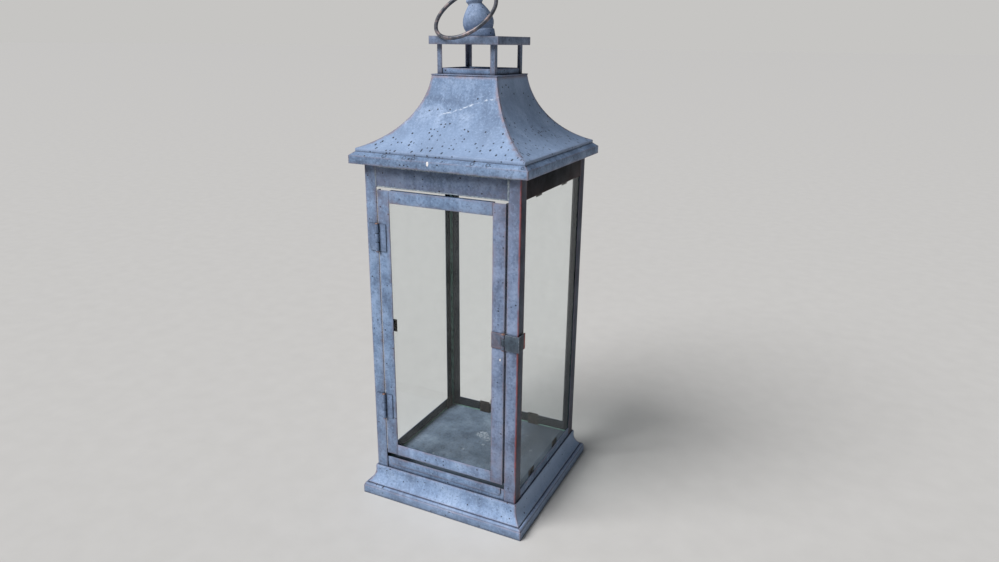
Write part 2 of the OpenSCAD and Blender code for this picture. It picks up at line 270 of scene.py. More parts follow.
def speck_mask(tree, across, up, share, specks_and_light_below):
    """1 on dried drops. share is the part of the cells with a drop, up to the height specks_and_light_below in
    mm; above it only an eighth as many have one."""
    scaled = add(tree, "Mapping", {"Vector": across, "Scale": (*map(per_mm, SPECK_MM), 1)})
    cell = add(tree, "TexVoronoi", {"Vector": scaled, "Scale": 1.0}, voronoi_dimensions="2D")
    lot = add(tree, "SeparateColor", {0: cell.outputs["Color"]})
    size = add(tree, "MapRange", {"Value": lot, "From Min": 1 - share, "From Max": 1.0,
                                  "To Min": 0.1, "To Max": 0.26})
    least = 1 - share
    if specks_and_light_below:
        least = add(tree, "MapRange", {"Value": up, "From Min": (specks_and_light_below - 6) * MM,
                                       "From Max": (specks_and_light_below + 14) * MM,
                                       "To Min": 1 - share, "To Max": 1 - share / 8})
    chosen = add(tree, "Math", {0: lot, 1: least}, operation="GREATER_THAN")
    from_rim = add(tree, "Math", {0: size, 1: cell.outputs["Distance"]}, operation="SUBTRACT")
    drop = add(tree, "MapRange", {"Value": from_rim, "From Max": 0.06})
    return where_all(tree, drop, chosen)


def chip_mask(tree, place, grain, x, y, z, radius):
    """1 within a leaning oval, radius mm across half its width, round a place in mm."""
    away = add(tree, "VectorMath", {0: place, 1: (x * MM, y * MM, z * MM)}, operation="SUBTRACT")
    oval = add(tree, "Mapping", {"Vector": away, "Rotation": (0, 0.35, 0), "Scale": (1.3, 1, 0.6)})
    gap = add(tree, "VectorMath", {0: oval}, operation="LENGTH")
    ragged = add(tree, "Math", {0: grain, 1: 0.7 * MM, 2: gap}, operation="MULTIPLY_ADD")
    return add(tree, "MapRange", {"Value": ragged, "From Min": (radius + 0.5) * MM,
                                  "From Max": (radius + 0.2) * MM})


# %% [markdown]
# ## Patina: the sheet
# One function makes every zinc finish, because the pieces differ only in how much of each layer
# they carry. It starts with clouds 26 mm wide, then lays streaks, grain, a paler foot as painted
# light, painted shade on the faces that look right (painted light on some pieces), specks,
# painted shade in crevices, rubbed edges and chips over them, in that order. The grain of real
# patina is finer than 2 mm; it is drawn that coarse so that it shows.
# Patina is a salt and not a metal, so it is rough and duller than bare zinc, with little specular
# reflection. Only the rubbed edges are partly metallic.

# %% Zinc patina
CLOUD_MM, GRAIN_MM, RUBBED_PATCH_MM = 26, 2.0, 9
STREAK_MM = (7, 38)
CREVICE_MM = 2.6
# The first colour is painted shade for the faces that look right, the third painted shade in
# crevices.
RIGHT_SIDE_SHADE, DROP_DIRT, CREVICE_SHADE = "#1b1c22", "#161a22", "#1d2129"


def zinc_patina(name, clouds, worn, wear=0.8, wear_mm=1.8, streaks=0.3, specks=0.0, specks_and_light_below=None,
                rub_above=None, right_shade=0.0, gloss=0.35, chips=(), marks=None):
    """Patinated zinc sheet. clouds are its dark, middle and pale blue-grey, worn its rubbed edges.
    wear, streaks and specks say how much of each there is. Above a given height, specks thin out,
    and below it the sheet is painted paler, as painted light. Below rub_above its edges are hardly
    rubbed. Both heights are in mm.
    The number for the right side is how much painted shade, or below 0 how much painted light, the
    faces that look right carry. gloss is the strength of reflections. marks is a function that
    gives further layers."""
    material, tree, surface = new_material(name)
    place = add(tree, "TexCoord").outputs["Object"]
    up = add(tree, "SeparateXYZ", {0: place}).outputs["Z"]
    across = side_place(tree)
    dark, middle, pale = clouds
    cloud = add(tree, "TexNoise", {"Vector": place, "Scale": per_mm(CLOUD_MM), "Detail": 6.0,
                                   "Roughness": 0.62, "Distortion": 0.4})
    colour = add(tree, "ValToRGB", {"Fac": cloud}, stops=[(0.3, dark), (0.5, middle), (0.72, pale)])
    grain = add(tree, "TexNoise", {"Vector": place, "Scale": per_mm(GRAIN_MM), "Detail": 3.0,
                                   "Roughness": 0.75})
    height = grain

    run = add(tree, "Mapping", {"Vector": across, "Scale": (*map(per_mm, STREAK_MM), 1)})
    streak = add(tree, "TexNoise", {"Vector": run, "Scale": 1.0, "Detail": 4.0, "Roughness": 0.55},
                 noise_dimensions="2D")
    # Each row is a pattern, where it starts to show, where it shows fully, how much, and its paint.
    layers = [(add(tree, "MapRange", {"Value": pattern, "From Min": start, "From Max": full,
                                      "To Max": most}), paint)
              for pattern, start, full, most, paint in ((streak, 0.52, 0.75, streaks, pale),
                                                        (streak, 0.48, 0.28, streaks, dark),
                                                        (grain, 0.52, 0.66, 0.7, dark),
                                                        (grain, 0.46, 0.32, 0.6, pale))]
    # Painted light: the sheet is paler below the given height.
    if specks_and_light_below:
        painted_foot_light = add(tree, "MapRange", {"Value": up, "From Min": (specks_and_light_below + 14) * MM,
                                     "From Max": (specks_and_light_below - 6) * MM, "To Max": 0.5})
        layers.append((painted_foot_light, pale))
    # Painted shade on the faces that look right, or painted light there when the number is below 0.
    if right_shade:
        facing = add(tree, "SeparateXYZ", {0: add(tree, "TexCoord").outputs["Normal"]})
        right_side_shade = add(tree, "MapRange", {"Value": facing, "From Min": 0.6, "From Max": 0.9,
                                     "To Max": abs(right_shade)})
        layers.append((right_side_shade, RIGHT_SIDE_SHADE if right_shade > 0 else pale))
    if specks:
        drops = speck_mask(tree, across, up, specks, specks_and_light_below)
        layers.append((where_all(tree, drops, 0.9), DROP_DIRT))
        height = add(tree, "Math", {0: drops, 1: grain}, operation="ADD")
    # Painted shade in corners and seams, found by ambient occlusion.
    crevice_shade = crevice_shade_mask(tree, CREVICE_MM)
    layers.append((where_all(tree, crevice_shade, 0.8), CREVICE_SHADE))

    open_edge = add(tree, "Math", {0: 1.0, 1: crevice_shade}, operation="SUBTRACT", use_clamp=True)
    patch = add(tree, "TexNoise", {"Vector": place, "Scale": per_mm(RUBBED_PATCH_MM), "Detail": 5.0,
                                   "Roughness": 0.7})
    kept = add(tree, "MapRange", {"Value": patch, "From Min": 0.36, "From Max": 0.6,
                                  "To Min": 0.12, "To Max": wear})
    rubbed = where_all(tree, edge_mask(tree, wear_mm), open_edge, kept)
    if rub_above:
        rub = add(tree, "MapRange", {"Value": up, "From Min": (rub_above - 2) * MM,
                                     "From Max": rub_above * MM, "To Min": 0.15})
        rubbed = where_all(tree, rubbed, rub)
    layers.append((rubbed, add(tree, "ValToRGB", {"Fac": grain},
                               stops=[(0.35, worn[0]), (0.65, worn[1])])))
    layers += [(chip_mask(tree, place, grain, *chip), CHIP_COLOUR) for chip in chips]
    if marks:
        layers += marks(tree, place, grain)

    rough = add(tree, "MapRange", {"Value": cloud, "From Min": 0.3, "From Max": 0.7,
                                   "To Min": 0.7, "To Max": 0.54})
    bump = add(tree, "Bump", {"Strength": 0.35, "Distance": 0.12 * MM, "Height": height})
    swell = add(tree, "Bump", {"Strength": 0.3, "Distance": 0.9 * MM, "Height": cloud,
                               "Normal": bump})
    skin = add(tree, "BsdfPrincipled", {"Base Color": painted(tree, colour, layers),
                                        "Roughness": rough, "Specular IOR Level": gloss,
                                        "Metallic": where_all(tree, rubbed, 0.6), "Normal": swell})
    tree.links.new(skin.outputs[0], surface)
    return material


# %% [markdown]
# ## Patina: marks in one place
# Some wear happened once, in one place: a long scratch on the roof, a corner that hands and the
# latch rub, splashes from the ground, rings left by drops, and bare metal where the latch springs
# against the post. Each is a function that gives its layers, measured from the CAD boxes or in mm.

# %% Scratch on the roof and rubbed corner
body_half = -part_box("post_front_left")[0].y / MM
SCRATCH_MIDDLE, SCRATCH_HALF, SCRATCH_UP, SCRATCH_SLOPE = 9, 28, 379.6, 0.33


def thumb_scratch(tree, place, grain):
    """One bright, broken, wandering scratch across the front slope of the roof."""
    x, y, z = add(tree, "SeparateXYZ", {0: place}).outputs
    wander = add(tree, "TexNoise", {"Vector": place, "Scale": per_mm(9), "Detail": 3.0})
    slant = add(tree, "Math", {0: x, 1: -SCRATCH_SLOPE, 2: z}, operation="MULTIPLY_ADD")
    bent = add(tree, "Math", {0: wander, 1: 7 * MM, 2: slant}, operation="MULTIPLY_ADD")
    off = add(tree, "Math", {0: bent, 1: SCRATCH_UP * MM}, operation="SUBTRACT")
    apart = add(tree, "Math", {0: off}, operation="ABSOLUTE")
    line = add(tree, "MapRange", {"Value": apart, "From Min": 0.9 * MM, "From Max": 0.15 * MM})
    along = add(tree, "Math", {0: x, 1: SCRATCH_MIDDLE * MM}, operation="SUBTRACT")
    reach = add(tree, "Math", {0: along}, operation="ABSOLUTE")
    stretch = add(tree, "MapRange", {"Value": reach, "From Min": SCRATCH_HALF * MM,
                                     "From Max": (SCRATCH_HALF - 8) * MM})
    gaps = add(tree, "TexNoise", {"Vector": place, "Scale": per_mm(3.5), "Detail": 4.0})
    broken = add(tree, "MapRange", {"Value": gaps, "From Min": 0.38, "From Max": 0.6,
                                    "To Max": 0.8})
    front = add(tree, "Math", {0: y, 1: -20 * MM}, operation="LESS_THAN")
    return [(where_all(tree, line, stretch, broken, front), "#dfe9f4")]


def rubbed_corner(tree, place, grain):
    """A red line along the front right corner, where the latch's hook and hands have rubbed it."""
    corner = (body_half * MM, -body_half * MM, 0)
    level = add(tree, "VectorMath", {0: place, 1: (1, 1, 0)}, operation="MULTIPLY")
    gap = add(tree, "VectorMath", {0: level, 1: corner}, operation="DISTANCE")
    line = add(tree, "MapRange", {"Value": gap, "From Min": 1.7 * MM, "From Max": 0.8 * MM})
    upright = add(tree, "Mapping", {"Vector": place, "Scale": (per_mm(4), per_mm(4), per_mm(30))})
    patch = add(tree, "TexNoise", {"Vector": upright, "Scale": 1.0, "Detail": 4.0})
    kept = add(tree, "MapRange", {"Value": patch, "From Min": 0.3, "From Max": 0.55,
                                  "To Min": 0.05, "To Max": 0.7})
    red = add(tree, "ValToRGB", {"Fac": grain}, stops=[(0.35, "#6e2823"), (0.65, "#a84c40")])
    return [(where_all(tree, line, kept), red)]


# %% Splashes, dried drops and the latch's end
FASCIA_TALL = 7
eave_low, eave_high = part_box("eave_front")
ledge_out = -(eave_low.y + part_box("roof_front")[0].y) / 2
ledge_up = (eave_low.z + FASCIA_TALL * MM + eave_high.z) / 2
DROP_RINGS = ((-49, 1.9), (-29, 1.7), (-20, 1.5), (35, 1.6), (49, 1.7), (79, 1.2))  # x, radius
flap_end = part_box("latch_flap")[1].y


def splashed_foot(tree, place, grain):
    """Dull brown-grey splashes on the plinth, thickest at the foot."""
    up = add(tree, "SeparateXYZ", {0: place}).outputs["Z"]
    low_down = add(tree, "MapRange", {"Value": up, "From Min": 12 * MM, "From Max": 2 * MM,
                                      "To Max": 0.55})
    splash = add(tree, "TexNoise", {"Vector": place, "Scale": per_mm(6), "Detail": 5.0,
                                    "Roughness": 0.7})
    spread = add(tree, "MapRange", {"Value": splash, "From Min": 0.35, "From Max": 0.6,
                                    "To Min": 0.35, "To Max": 1.0})
    return [(where_all(tree, low_down, spread), "#525b6a")]


def dried_drops(tree, place, grain):
    """Thin dark rings where drops of rain dried on the ledge above the fascia."""
    layers = []
    for x, radius in DROP_RINGS:
        middle = (x * MM, -ledge_out, ledge_up)
        gap = add(tree, "VectorMath", {0: place, 1: middle}, operation="DISTANCE")
        off = add(tree, "Math", {0: gap, 1: radius * MM}, operation="SUBTRACT")
        apart = add(tree, "Math", {0: off}, operation="ABSOLUTE")
        rim = add(tree, "MapRange", {"Value": apart, "From Min": 0.55 * MM, "From Max": 0.25 * MM,
                                     "To Max": 0.75})
        layers.append((rim, "#343d4c"))
    return layers


def sprung_end(tree, place, grain):
    """Bare red at the far end of the latch flap, which springs against the post's side."""
    depth = add(tree, "SeparateXYZ", {0: place}).outputs["Y"]
    end = add(tree, "MapRange", {"Value": depth, "From Min": flap_end - 3.4 * MM,
                                 "From Max": flap_end - 2.2 * MM, "To Max": 0.85})
    red = add(tree, "ValToRGB", {"Fac": grain}, stops=[(0.35, "#7a2a24"), (0.65, "#b3503f")])
    return [(end, red)]


# %% [markdown]
# ## Patina: one finish for each kind of piece
# The blue-grey goes from pale where rain washes the sheet to nearly black where soot keeps it dirty
# and where shade is painted on. Rubbed edges are copper-brown on the body and steel-grey on the
# small hard parts.

# %% Zinc finishes
WORN_COPPER = ("#85655f", "#ab918c")
BODY_CLOUDS = ("#4f5e76", "#7289a8", "#92a8c7")
RIGHT_CLOUDS = ("#505c73", "#7283a0", "#909fbb")
# x, y, z and radius of each chip, in mm
FASCIA_CHIP = (-5.4, -84.8, 335.6, 1.3)
RAIL_CHIP = (-11.2, -75, 58.8, 0.8)
STILE_CHIP = (58.2, -75, 170, 0.8)
# Door, rails and left posts: cloudy, matt and in the light.
body_zinc = zinc_patina("body_zinc_patina", BODY_CLOUDS, WORN_COPPER, wear=0.6, streaks=0.25,
                        specks=0.05)
# Base and lower door rail: rain keeps them paler, and the ground splashes their foot.
# Their faces that look right are painted paler, as painted light.
clean_zinc = zinc_patina("rain_washed_zinc_patina", ("#61738e", "#8299ba", "#a0b5d2"), WORN_COPPER,
                         wear=0.6, streaks=0.25, specks=0.09, right_shade=-0.75, chips=[RAIL_CHIP],
                         marks=splashed_foot)
# Right stile and right posts: handled, so a little darker and redder.
stile_zinc = zinc_patina("handled_zinc_patina", RIGHT_CLOUDS, WORN_COPPER, wear=0.7, specks=0.06,
                         chips=[STILE_CHIP])
# The posts' faces that look right are painted dark, as painted shade.
post_zinc = zinc_patina("post_zinc_patina", RIGHT_CLOUDS, WORN_COPPER, wear=0.6, streaks=0.25,
                        specks=0.04, right_shade=0.72, marks=rubbed_corner)
# Eave and roof: rain dries on them, and the roof's hips are rubbed down to the ledge.
eave_zinc = zinc_patina("eave_zinc_patina", BODY_CLOUDS, WORN_COPPER, wear=0.6, streaks=0.25,
                        specks=0.07, chips=[FASCIA_CHIP], marks=dried_drops)
# The roof's foot is painted paler, as painted light on its flatter slope, and so are the faces that
# look right.
roof_zinc = zinc_patina("roof_zinc_patina", ("#5f728e", "#778eae", "#9fb4d2"), WORN_COPPER,
                        wear=0.75, wear_mm=3.2, specks=0.4, specks_and_light_below=356, rub_above=345,
                        right_shade=-0.45, marks=thumb_scratch)
# Headers and cupola: darker clouds, as painted shade under the eave and under the cupola's cap.
# The right header is painted nearly black, as the deepest shade.
header_shade_zinc = zinc_patina("header_painted_shade_zinc", ("#475568", "#627390", "#8393ac"), WORN_COPPER,
                          wear=0.5, specks=0.05)
cupola_shade_zinc = zinc_patina("cupola_painted_shade_zinc", ("#4e5b6e", "#6c7c95", "#8f9eb8"), WORN_COPPER,
                          wear=0.45, specks=0.05)
painted_shade_zinc = zinc_patina("right_header_painted_shade_zinc", ("#15161a", "#1d2025", "#2b2f37"), WORN_COPPER,
                          wear=0.3, gloss=0.05)
# Insides: candle soot, which hardly shines at all.
sooty_zinc = zinc_patina("sooty_inside_zinc", ("#11161a", "#1c2329", "#2f383f"),
                         ("#3b3a3a", "#6b6a6c"), wear=0.4, streaks=0.4, gloss=0.05)
# Hinges, latch and finial: small parts whose edges show grey, or copper on the latch plate. On
# the hinges the edges are dark, as painted shade round each leaf.
hinge_zinc = zinc_patina("hinge_zinc_patina", ("#556279", "#7083a1", "#8ca0be"),
                         ("#333a47", "#5d6878"), wear=0.9, wear_mm=0.8, streaks=0.2)
flap_zinc = zinc_patina("flap_zinc_patina", ("#262d36", "#37414d", "#4c5b67"),
                        ("#6f7b8c", "#b4bfce"), wear=0.85, wear_mm=0.8, streaks=0.5,
                        marks=sprung_end)
latch_zinc = zinc_patina("latch_zinc_patina", ("#454b5a", "#5a6274", "#7a859b"),
                         ("#7a4c41", "#b58170"), wear=0.9, wear_mm=0.8)
finial_zinc = zinc_patina("finial_cast_zinc", ("#5b6b82", "#7d90ae", "#9aaac4"),
                          ("#6a7488", "#b9c3d2"), wear=0.4, streaks=0.2, specks=0.08)

# %% [markdown]
# ## Glass
# Glass is clear and only faintly green, but its ground edges gather that green. A 2 mm pane hardly
# bends what is seen through it, so a Transparent shader stands for its body and lets lamps reach
# the inside. A Glossy one stands for its surface, and takes over as the view grazes the pane: each
# face reflects 2 to 50 per cent. Dust and dried rain make a thin, broken haze.

# %% Window glass
HAZE_MM, MOST_HAZE = 22, 0.02
FACE_ON, GRAZING = 0.02, 0.5


def window_glass(name):
    """Thin float glass, clear but for its surface reflections and a broken haze."""
    material, tree, surface = new_material(name)
    place = add(tree, "TexCoord").outputs["Object"]
    smear = add(tree, "TexNoise", {"Vector": place, "Scale": per_mm(HAZE_MM), "Detail": 5.0,
                                   "Roughness": 0.65})
    haze = add(tree, "MapRange", {"Value": smear, "From Min": 0.42, "From Max": 0.75,
                                  "To Max": MOST_HAZE})
    through = add(tree, "BsdfTransparent", {"Color": "#fdfefe"})
    mirror = add(tree, "BsdfGlossy", {"Color": "#f4f8f8", "Roughness": 0.01})
    slant = add(tree, "LayerWeight", {"Blend": 0.5}).outputs["Facing"]
    steep = add(tree, "Math", {0: slant, 1: 5.0}, operation="POWER")
    share = add(tree, "Math", {0: steep, 1: GRAZING, 2: FACE_ON}, operation="MULTIPLY_ADD")
    clear = add(tree, "MixShader", {0: share, 1: through, 2: mirror})
    dust = add(tree, "BsdfPrincipled", {"Base Color": "#c8cbcb", "Roughness": 0.8})
    glass = add(tree, "MixShader", {0: haze, 1: clear, 2: dust})
    tree.links.new(glass.outputs[0], surface)
    return material


pane_glass = window_glass("float_glass")

# %% [markdown]
# ## Small metals and ground glass
# Pins, ring, tabs, solder and the panes' ground edges are small, so one cloudy colour each, with
# roughness that follows the clouds and fine bumps, is all that the eye gets of them.

# %% Edges of glass, solder, copper, wire and tabs


def cloudy_finish(name, colours, size_mm, roughness, metallic, bump_mm):
    """A surface with cloudy colour, roughness that follows the clouds, and fine bumps."""
    material, tree, surface = new_material(name)
    place = add(tree, "TexCoord").outputs["Object"]
    cloud = add(tree, "TexNoise", {"Vector": place, "Scale": per_mm(size_mm), "Detail": 5.0,
                                   "Roughness": 0.65})
    colour = add(tree, "ValToRGB", {"Fac": cloud}, stops=list(zip((0.33, 0.52, 0.7), colours)))
    rough = add(tree, "MapRange", {"Value": cloud, "From Min": 0.3, "From Max": 0.7,
                                   "To Min": roughness[0], "To Max": roughness[1]})
    bump = add(tree, "Bump", {"Strength": 0.5, "Distance": bump_mm * MM, "Height": cloud})
    skin = add(tree, "BsdfPrincipled", {"Base Color": colour, "Roughness": rough,
                                        "Metallic": metallic, "Normal": bump})
    tree.links.new(skin.outputs[0], surface)
    return material


# Ground glass scatters light, so it shows the green that the clear faces hide.
edge_glass = cloudy_finish("ground_glass_edge", ("#37594f", "#5d8a7c", "#93b9ab"), 3,
                           (0.35, 0.6), 0.0, 0.05)
# Tin solder weathers paler than the zinc, and stays lumpy.
solder = cloudy_finish("weathered_solder", ("#67727e", "#8d99a4", "#b4bcc0"), 2.2,
                       (0.45, 0.65), 0.25, 0.25)
# The pins are copper wire, brown in the hollows and bright where it turns.
pin_copper = cloudy_finish("pin_copper", ("#5c4440", "#94756a", "#c9a797"), 1.4,
                           (0.35, 0.6), 0.6, 0.1)
# The ring is drawn wire under dark tarnish, rubbed to a warm grey where it swings.
ring_wire = cloudy_finish("tarnished_ring_wire", ("#43474f", "#63656c", "#a58d88"), 7,
                          (0.36, 0.52), 0.5, 0.02)
# The tabs are scraps of thin sheet, rusty and dark.
tab_metal = cloudy_finish("tab_sheet", ("#14120f", "#2a241e", "#4a4036"), 4,
                          (0.5, 0.7), 0.2, 0.1)

# %% [markdown]
# ## Floor sheet
# The floor is the same zinc, but dry and dull: it has faint marks of a brush, grit, and white lime
# where water dried in ragged patches. Painted shade darkens it behind the door's sill and
# towards the right wall, which keeps the light off it.

# %% Dull floor zinc
floor_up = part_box("floor_plate")[1].z
BRUSH_MM, BRUSH_TURN = (1.5, 30), 0.5
LIME_CELL_MM, LIME_EDGE_MM = 13, 3.0
# x, y and radius of each patch of lime, in mm
LIME_PATCHES = ((-9, 25, 9), (-2, 19, 7), (1, 7, 2.4), (-14, -10, 2), (51, 18, 3), (35, 45, 2),
                (-37, -31, 2))


def lime_layers(tree, place):
    """Small round spots of lime at random, then the large ragged patches, each in its place."""
    cell = add(tree, "TexVoronoi", {"Vector": place, "Scale": per_mm(LIME_CELL_MM)})
    lot = add(tree, "SeparateColor", {0: cell.outputs["Color"]})
    size = add(tree, "MapRange", {"Value": lot, "From Min": 0.7, "From Max": 1.0, "To Max": 0.1})
    from_rim = add(tree, "Math", {0: size, 1: cell.outputs["Distance"]}, operation="SUBTRACT")
    spots = add(tree, "MapRange", {"Value": from_rim, "From Max": 0.03, "To Max": 0.7})
    layers = [(spots, "#c8d0d4")]
    ragged = add(tree, "TexNoise", {"Vector": place, "Scale": per_mm(LIME_EDGE_MM), "Detail": 5.0,
                                    "Roughness": 0.7, "Distortion": 1.5})
    for x, y, radius in LIME_PATCHES:
        middle = (x * MM, y * MM, floor_up)
        gap = add(tree, "VectorMath", {0: place, 1: middle}, operation="DISTANCE")
        near = add(tree, "MapRange", {"Value": gap, "From Min": radius * 1.2 * MM,
                                      "From Max": radius * 0.6 * MM,
                                      "To Min": -0.25, "To Max": 0.05})
        torn = add(tree, "Math", {0: ragged, 1: near}, operation="ADD")
        patch = add(tree, "MapRange", {"Value": torn, "From Min": 0.52, "From Max": 0.56})
        layers.append((patch, "#c9d2dc"))
    return layers


def floor_finish(name):
    """Dull zinc with brush marks, grit and lime, and painted shade by the sill and the right wall.
    """
    material, tree, surface = new_material(name)
    place = add(tree, "TexCoord").outputs["Object"]
    x, y = add(tree, "SeparateXYZ", {0: place}).outputs[:2]
    cloud = add(tree, "TexNoise", {"Vector": place, "Scale": per_mm(30), "Detail": 6.0,
                                   "Roughness": 0.65})
    colour = add(tree, "ValToRGB", {"Fac": cloud},
                 stops=[(0.32, "#5f6e80"), (0.52, "#8091a4"), (0.72, "#a3b4c6")])
    brushed = add(tree, "Mapping", {"Vector": place, "Rotation": (0, 0, BRUSH_TURN),
                                    "Scale": (*map(per_mm, BRUSH_MM), 1)})
    stroke = add(tree, "TexNoise", {"Vector": brushed, "Scale": 1.0, "Detail": 3.0})
    grain = add(tree, "TexNoise", {"Vector": place, "Scale": per_mm(2.2), "Detail": 4.0,
                                   "Roughness": 0.75})
    grit = add(tree, "MapRange", {"Value": grain, "From Min": 0.5, "From Max": 0.68, "To Max": 0.6})
    light = add(tree, "MapRange", {"Value": stroke, "From Min": 0.55, "From Max": 0.8,
                                   "To Max": 0.35})
    # Painted shade: dark behind the door's sill, and darker towards the right wall.
    sill_shade = add(tree, "MapRange", {"Value": y, "From Min": -48 * MM, "From Max": -58 * MM,
                                 "To Max": 0.92})
    right = add(tree, "MapRange", {"Value": x, "From Min": -25 * MM, "From Max": 40 * MM,
                                   "To Max": 0.72})
    layers = [(grit, "#3f4a52"), (light, "#8c9aa0"), *lime_layers(tree, place),
              (sill_shade, "#12161a"), (right, "#343c44")]
    bump = add(tree, "Bump", {"Strength": 0.3, "Distance": 0.2 * MM, "Height": stroke})
    skin = add(tree, "BsdfPrincipled", {"Base Color": painted(tree, colour, layers),
                                        "Roughness": 0.65, "Specular IOR Level": 0.2,
                                        "Normal": bump})
    tree.links.new(skin.outputs[0], surface)
    return material


floor_zinc = floor_finish("dull_floor_zinc")
print("materials:", len(bpy.data.materials))

# %% [markdown]
# ## How a piece is finished
# Every piece is a bmesh until the end. Then doubles are merged, the normals are made to point out,
# and the mesh becomes an object that sits at the origin, with its place in its mesh. Faces are
# shaded smooth, except across edges sharper than 35 degrees. Each piece rides on the CAD body that
# it moves with, and the CAD nodes that it stands for are hidden. The imported record says which
# body and which material slot a node has.

# %% Finishing a piece
record = frame["record"]
bodies = record["behaviour"]["bodies"]
body_of = {node: body for body, nodes in bodies.items() for node in nodes}
slot_of = {part["node"]: part["material_slot"] for part in record["subparts"]}
DOUBLES = 0.002 * MM


def finish_piece(bm, name, materials, body, slot, *nodes):
    """Turns a bmesh into the finished piece, puts it on its body and hides the CAD nodes it
    replaces.
    """
    bmesh.ops.remove_doubles(bm, verts=bm.verts, dist=DOUBLES)
    bmesh.ops.recalc_face_normals(bm, faces=bm.faces)
    mesh = bpy.data.meshes.new(name)
    bm.to_mesh(mesh)
    bm.free()
    for material in materials:
        mesh.materials.append(material)
    mesh.shade_smooth()
    mesh.set_sharp_from_angle(angle=math.radians(35))
    piece = bpy.data.objects.new(name, mesh)
    scene.collection.objects.link(piece)
    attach(piece, body)
    if nodes:
        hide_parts(*nodes)
    print(f"{name}: {len(mesh.polygons)} faces")
    return piece


def round_edges(bm, width_mm, segments=2, sharper_than=30):
    """Rounds every edge that is sharper than an angle, as filed or folded sheet is."""
    sharp = [e for e in bm.edges
             if e.is_manifold and e.calc_face_angle() > math.radians(sharper_than)]
    bmesh.ops.bevel(bm, geom=sharp, offset=width_mm * MM, offset_type="OFFSET", segments=segments,
                    profile=0.5, affect="EDGES", clamp_overlap=True, material=-1)


# %% [markdown]
# ## Flat strips and plates
# Posts, headers, rails, stiles, hinge leaves and the cap are flat sheet cut to size, and the CAD
# model already has them exactly, as it has the finial, which is turned. Its meshes are loose
# triangles, so a copy is welded and its flat regions joined before its edges can be rounded. A real
# sheared edge has a radius of about a quarter of a millimetre, which is what catches the light.
# The faces that look in at the candle get a second material, the sooty one.

# %% Rounded copies of the flat pieces


def welded(node):
    """A copy of a CAD node's mesh with its triangles joined into whole flat faces."""
    bm = bmesh.new()
    bm.from_mesh(frame["nodes"][node].data)
    bmesh.ops.remove_doubles(bm, verts=bm.verts, dist=DOUBLES)
    bmesh.ops.dissolve_limit(bm, angle_limit=math.radians(1), verts=bm.verts, edges=bm.edges)
    return bm


def sheet_piece(node, outside, edge_mm, inside):
    """The CAD node's own shape with rounded edges, and with another finish on its inner faces."""
    bm = welded(node)
    round_edges(bm, edge_mm)
    for face in bm.faces if inside else ():
        middle = face.calc_center_median()
        inwards = Vector((-middle.x, -middle.y, 0)).normalized()
        face.material_index = 1 if face.normal.dot(inwards) > 0.45 else 0
    materials = (outside, inside) if inside else (outside,)
    return finish_piece(bm, node + "_sheet", materials, body_of[node], slot_of[node], node)


# %% The flat work, piece by piece
# Finish, radius of the edges in mm, inner finish, and the pieces that share them
FLAT_WORK = (
    (body_zinc, 0.35, sooty_zinc, "post_front_left post_back_left"),
    (post_zinc, 0.35, sooty_zinc, "post_front_right post_back_right"),
    (header_shade_zinc, 0.25, sooty_zinc, "header_front header_back header_left"),
    (painted_shade_zinc, 0.25, sooty_zinc, "header_right"),
    (body_zinc, 0.25, sooty_zinc, "rail_front rail_right rail_back rail_left"),
    (body_zinc, 0.25, None, "sill"),
    (body_zinc, 0.3, None, "door_stile_left door_rail_top"),
    (stile_zinc, 0.3, None, "door_stile_right"),
    (clean_zinc, 0.3, None, "door_rail_bottom"),
    (tab_metal, 0.15, None, "pane_tabs door_tabs"),
    (floor_zinc, 0.25, None, "floor_plate"),
    (body_zinc, 0.25, None, "roof_top_plate cupola_base"),
    (cupola_shade_zinc, 0.25, None, "cupola_cap"),
    (cupola_shade_zinc, 0.2, None, "cupola_post_front_left cupola_post_front_right "
                             "cupola_post_back_right cupola_post_back_left"),
    (hinge_zinc, 0.18, None, "hinge_lower_post_leaf hinge_lower_door_leaf "
                             "hinge_upper_post_leaf hinge_upper_door_leaf"),
    (latch_zinc, 0.18, None, "latch_plate"),
    (flap_zinc, 0.25, None, "latch_flap"),
    (finial_zinc, 0.4, None, "finial"),
)
for outside, edge_mm, inside, nodes in FLAT_WORK:
    for node in nodes.split():
        sheet_piece(node, outside, edge_mm, inside)

# %% [markdown]
# ## Panes
# Each pane is a slab of 2 mm glass. Its ground edge is greener and duller than its face, so those
# faces get the second material. They are the faces that don't look along the slab's thin direction.

# %% Panes of glass


def pane(node):
    """A pane with an arrissed, ground edge."""
    low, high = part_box(node)
    size = high - low
    thin = min(range(3), key=lambda axis: size[axis])
    bm = welded(node)
    round_edges(bm, 0.2, segments=1)
    for face in bm.faces:
        face.material_index = 0 if abs(face.normal[thin]) > 0.9 else 1
    return finish_piece(bm, node + "_pane", (pane_glass, edge_glass), body_of[node], "glass", node)


for node in ("glass_right", "glass_back", "glass_left", "door_glass"):
    pane(node)

# %% [markdown]
# ## Folded lengths: base, eave and roof
# These are sheet folded along its length and mitred at the corners. The section's outer line is
# drawn first, as distance out from the middle and height, and extruded sideways. Solidify gives the
# sheet its thickness, and two slanted cuts make the mitres. Extra cuts across the length let the
# sheet be pushed in a little by a smooth noise, because hand-worked sheet is never quite flat. The
# push fades out towards the mitres, so that the corners still meet.

# %% Folding a length
CUT_EVERY, DENT_MM, DENT_FADE = 6, 34, 12


def everything(bm):
    """All that a cut has to be told to cut."""
    return bm.verts[:] + bm.edges[:] + bm.faces[:]


